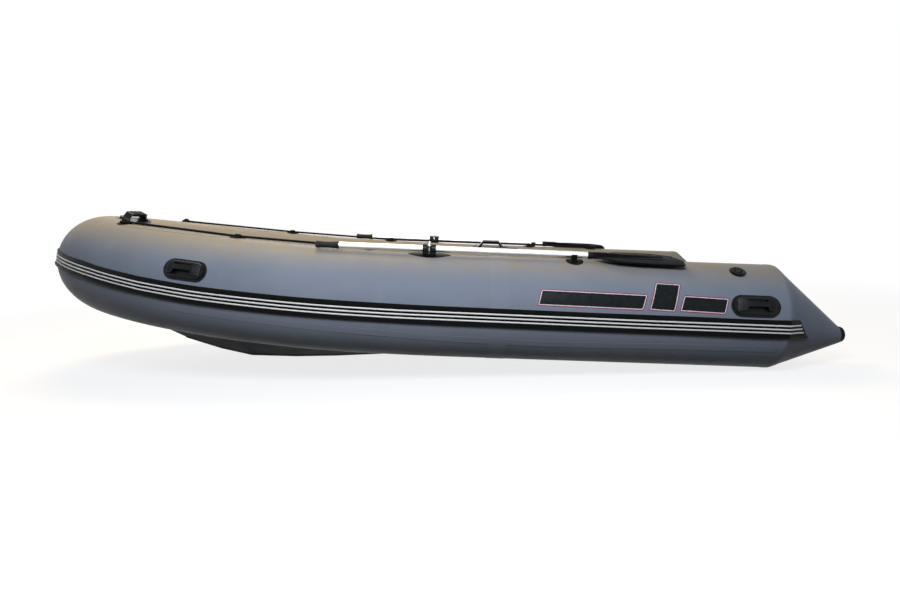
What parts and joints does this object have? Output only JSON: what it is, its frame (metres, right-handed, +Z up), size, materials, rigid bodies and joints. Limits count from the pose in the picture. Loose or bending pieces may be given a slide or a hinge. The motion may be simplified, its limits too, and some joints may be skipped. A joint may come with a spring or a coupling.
{
  "type": "inflatable boat",
  "caption": "Grey inflatable boat with a U-shaped tube, black and white rub strake, wooden transom and seats, V bottom, lifelines and oars stowed on the tubes.",
  "frame": {"origin": "on the floor, under the centre of the boat's box", "axes": "+X to the bow, +Y to port, +Z up"},
  "size_m": [4.1854, 1.961, 0.9033],
  "materials": {
    "tube_pvc": "semi-gloss coated fabric",
    "bottom_pvc": "semi-gloss coated fabric",
    "black_rubber": "satin moulded rubber",
    "white_rubber": "satin moulded rubber",
    "black_plastic": "moulded, fine grain",
    "plywood": "film-faced plywood",
    "aluminium": "anodised",
    "stainless": "polished",
    "rope": "braided"
  },
  "bodies": {
    "hull": {"aft_floorboard": "plywood", "bow_floorboard": "plywood", "bow_handle": "black_plastic", "bow_ring": "stainless", "bow_tube": "tube_pvc", "cone_caps": "black_rubber", "drain_plug": "black_plastic", "floor_joiners": "aluminium", "forward_floorboard": "plywood", "front_seat": "plywood", "hull_bottom": "bottom_pvc", "inner_handles": "black_plastic", "keel_guard": "black_rubber", "middle_floorboard": "plywood", "oar_clips": "black_rubber", "port_lifeline": "rope", "port_side_tube": "tube_pvc", "rear_seat": "plywood", "rope_holders": "black_rubber", "rowlock_bases": "black_rubber", "rub_strake": "black_rubber", "seat_rails": "tube_pvc", "side_handles": "black_plastic", "starboard_lifeline": "rope", "starboard_side_tube": "tube_pvc", "strake_stripes": "white_rubber", "stringers": "aluminium", "tow_rings": "stainless", "transom_board": "plywood", "transom_cuffs": "bottom_pvc", "transom_plates": "black_plastic", "valves": "black_plastic"},
    "port_oar": {"port_oar_yoke": "black_plastic", "port_oar_shaft": "aluminium", "port_oar_grip": "black_rubber", "port_oar_blade": "black_plastic", "port_oar_strap": "black_rubber"},
    "starboard_oar": {"starboard_oar_yoke": "black_plastic", "starboard_oar_shaft": "aluminium", "starboard_oar_grip": "black_rubber", "starboard_oar_blade": "black_plastic", "starboard_oar_strap": "black_rubber"}
  },
  "joints": [
    {"name": "port_oar_swivel", "type": "hinge", "parent": "hull", "child": "port_oar", "pos_m": [-0.04292, 0.76669, 0.62448], "axis": [0.0755, -0.2419, -0.9674], "range_deg": [0, 115]},
    {"name": "starboard_oar_swivel", "type": "hinge", "parent": "hull", "child": "starboard_oar", "pos_m": [-0.04292, -0.76669, 0.62448], "axis": [-0.0755, -0.2419, 0.9674], "range_deg": [0, 115]}
  ]
}
